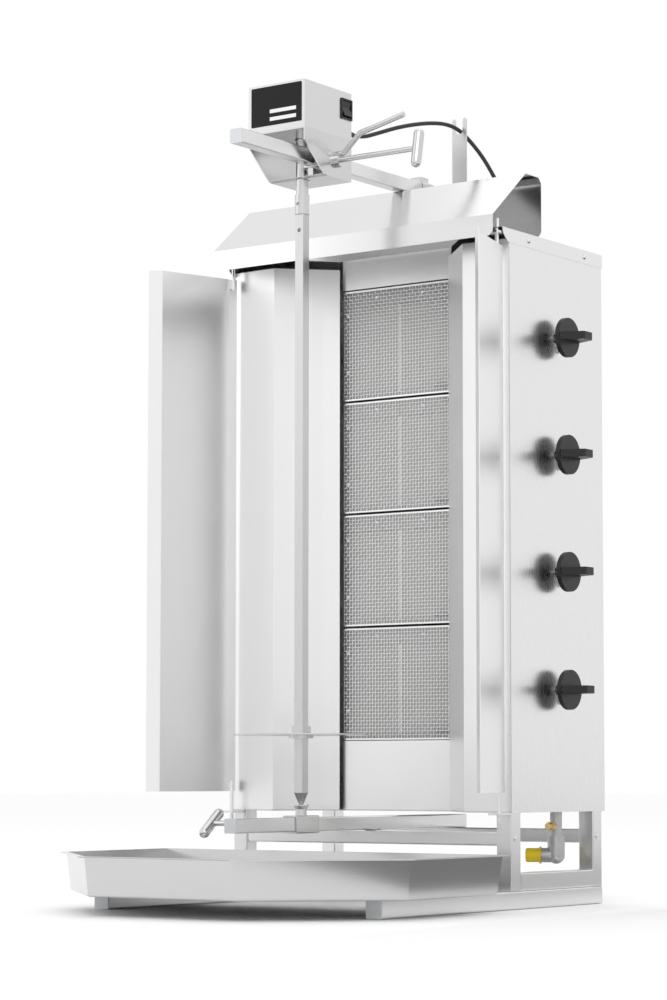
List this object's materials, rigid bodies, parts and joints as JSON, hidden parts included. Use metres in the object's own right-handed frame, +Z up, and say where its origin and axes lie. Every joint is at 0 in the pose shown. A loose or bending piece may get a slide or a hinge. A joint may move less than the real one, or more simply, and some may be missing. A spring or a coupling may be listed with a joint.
{
  "type": "rotisserie oven",
  "caption": "Upright gas broiler with a hanging vertical spit driven by a top motor, ceramic burners behind wire guards, folding side shields, hood and a drip pan.",
  "frame": {"origin": "middle of the base on the floor: centre in plan of the box round the broiler without its cord, at the underside of the skids", "axes": "+X to the user's right, the side with the knobs; +Y to the back; +Z up, along the spit"},
  "size_m": [0.606, 0.8535, 1.158],
  "materials": {
    "stainless_sheet": "fine brushed, bright",
    "stainless_tube": "satin",
    "pale_plastic": "matte",
    "cast_burner": "heat-stained matte",
    "ceramic": "matte, fine perforation",
    "guard_wire": "woven wire",
    "brass": "machined",
    "pipe_steel": "zinc plated",
    "screw_steel": "polished",
    "yellow_plastic": "semi-matte",
    "plate_black": "satin",
    "gear_housing": "painted grey",
    "switch_black": "gloss",
    "knob_charcoal": "fine grained",
    "cord_black": "matte"
  },
  "bodies": {
    "cabinet": {"side_frame_left": "stainless_tube", "side_frame_right": "stainless_tube", "crossbars": "stainless_tube", "lower_arm": "stainless_tube", "upper_arm": "stainless_tube", "arm_mast": "stainless_tube", "skid_end_caps": "pale_plastic", "arm_end_caps": "pale_plastic", "side_panel_left": "stainless_sheet", "side_panel_right": "stainless_sheet", "reflector_left": "stainless_sheet", "reflector_right": "stainless_sheet", "floor_panel": "stainless_sheet", "rear_panel": "stainless_sheet", "top_cover": "stainless_sheet", "front_panels": "stainless_sheet", "burner_bodies": "cast_burner", "ceramic_plaques": "ceramic", "burner_guards": "guard_wire", "gas_injectors": "brass", "gas_taps": "brass", "gas_manifold": "pipe_steel", "gas_elbow": "pipe_steel", "test_nipple": "brass", "thermocouples": "pipe_steel", "canopy": "stainless_sheet", "cable_fork": "stainless_sheet", "hinge_tabs": "stainless_sheet", "panel_screws": "screw_steel", "bypass_bushes": "pale_plastic", "cord_tube": "cord_black", "cord_coil": "cord_black", "plug": "cord_black"},
    "motor_carriage": {"motor_bracket": "stainless_sheet", "motor_case": "stainless_sheet", "data_plate": "plate_black", "gear_motor": "gear_housing", "switch_bezel": "switch_black", "strain_relief": "cord_black"},
    "switch": {"switch_rocker": "switch_black"},
    "upper_screw": {"upper_clamp_screw": "stainless_tube"},
    "spit_drive": {"drive_socket": "stainless_tube", "spit": "stainless_tube"},
    "meat_plate": {"meat_plate": "stainless_sheet"},
    "lower_carriage": {"lower_sleeve": "stainless_tube"},
    "lower_screw": {"lower_clamp_screw": "stainless_tube"},
    "left_door": {"door_left": "stainless_sheet"},
    "right_door": {"door_right": "stainless_sheet"},
    "inlet_cap": {"inlet_cap": "yellow_plastic"},
    "drip_pan": {"drip_pan": "stainless_sheet"},
    "spindle_1": {"tap_spindle_1": "pipe_steel"},
    "knob_1": {"knob_1": "knob_charcoal"},
    "spindle_2": {"tap_spindle_2": "pipe_steel"},
    "knob_2": {"knob_2": "knob_charcoal"},
    "spindle_3": {"tap_spindle_3": "pipe_steel"},
    "knob_3": {"knob_3": "knob_charcoal"},
    "spindle_4": {"tap_spindle_4": "pipe_steel"},
    "knob_4": {"knob_4": "knob_charcoal"}
  },
  "joints": [
    {"name": "pan_slide", "type": "slide", "parent": "cabinet", "child": "drip_pan", "axis": [0, -1, 0], "range_m": [0, 0.3]},
    {"name": "right_door_hinge", "type": "hinge", "parent": "cabinet", "child": "right_door", "pos_m": [0.236, 0.098, 0.55], "axis": [0, 0, 1], "range_deg": [-107, 90]},
    {"name": "left_door_hinge", "type": "hinge", "parent": "cabinet", "child": "left_door", "pos_m": [-0.236, 0.098, 0.55], "axis": [0, 0, 1], "range_deg": [-90, 107]},
    {"name": "spindle_1_push", "type": "slide", "parent": "cabinet", "child": "spindle_1", "axis": [-1, 0, 0], "range_m": [0, 0.003], "stiffness_N_per_m": 3000},
    {"name": "knob_1_turn", "type": "hinge", "parent": "spindle_1", "child": "knob_1", "pos_m": [0.27, 0.239, 0.308], "axis": [1, 0, 0], "range_deg": [0, 180]},
    {"name": "spindle_2_push", "type": "slide", "parent": "cabinet", "child": "spindle_2", "axis": [-1, 0, 0], "range_m": [0, 0.003], "stiffness_N_per_m": 3000},
    {"name": "knob_2_turn", "type": "hinge", "parent": "spindle_2", "child": "knob_2", "pos_m": [0.27, 0.239, 0.477], "axis": [1, 0, 0], "range_deg": [0, 180]},
    {"name": "spindle_3_push", "type": "slide", "parent": "cabinet", "child": "spindle_3", "axis": [-1, 0, 0], "range_m": [0, 0.003], "stiffness_N_per_m": 3000},
    {"name": "knob_3_turn", "type": "hinge", "parent": "spindle_3", "child": "knob_3", "pos_m": [0.27, 0.239, 0.646], "axis": [1, 0, 0], "range_deg": [0, 180]},
    {"name": "spindle_4_push", "type": "slide", "parent": "cabinet", "child": "spindle_4", "axis": [-1, 0, 0], "range_m": [0, 0.003], "stiffness_N_per_m": 3000},
    {"name": "knob_4_turn", "type": "hinge", "parent": "spindle_4", "child": "knob_4", "pos_m": [0.27, 0.239, 0.816], "axis": [1, 0, 0], "range_deg": [0, 180]},
    {"name": "carriage_slide", "type": "slide", "parent": "cabinet", "child": "motor_carriage", "axis": [0, 1, 0], "range_m": [-0.1, 0.08], "deforming": ["cord_tube"]},
    {"name": "lower_carriage_slide", "type": "slide", "parent": "cabinet", "child": "lower_carriage", "axis": [0, 1, 0], "range_m": [-0.1, 0.08]},
    {"name": "spit_turn", "type": "hinge", "parent": "motor_carriage", "child": "spit_drive", "pos_m": [0, -0.046, 1], "axis": [0, 0, 1], "continuous": true},
    {"name": "meat_plate_slide", "type": "slide", "parent": "spit_drive", "child": "meat_plate", "axis": [0, 0, 1], "range_m": [-0.07, 0.6]},
    {"name": "upper_screw_turn", "type": "hinge", "parent": "motor_carriage", "child": "upper_screw", "pos_m": [0.1, -0.028, 1.0555], "axis": [1, 0, 0], "range_deg": [-360, 360]},
    {"name": "lower_screw_turn", "type": "hinge", "parent": "lower_carriage", "child": "lower_screw", "pos_m": [-0.1, -0.046, 0.118], "axis": [1, 0, 0], "range_deg": [-360, 360]},
    {"name": "switch_rock", "type": "hinge", "parent": "motor_carriage", "child": "switch", "pos_m": [0.0465, -0.008, 1.1325], "axis": [0, 1, 0], "range_deg": [0, 16]},
    {"name": "inlet_cap_pull", "type": "slide", "parent": "cabinet", "child": "inlet_cap", "axis": [-0.891, -0.454, 0], "range_m": [0, 0.03]}
  ],
  "couplings": [
    {"joint": "lower_carriage_slide", "follows": "carriage_slide", "ratio": 1}
  ]
}
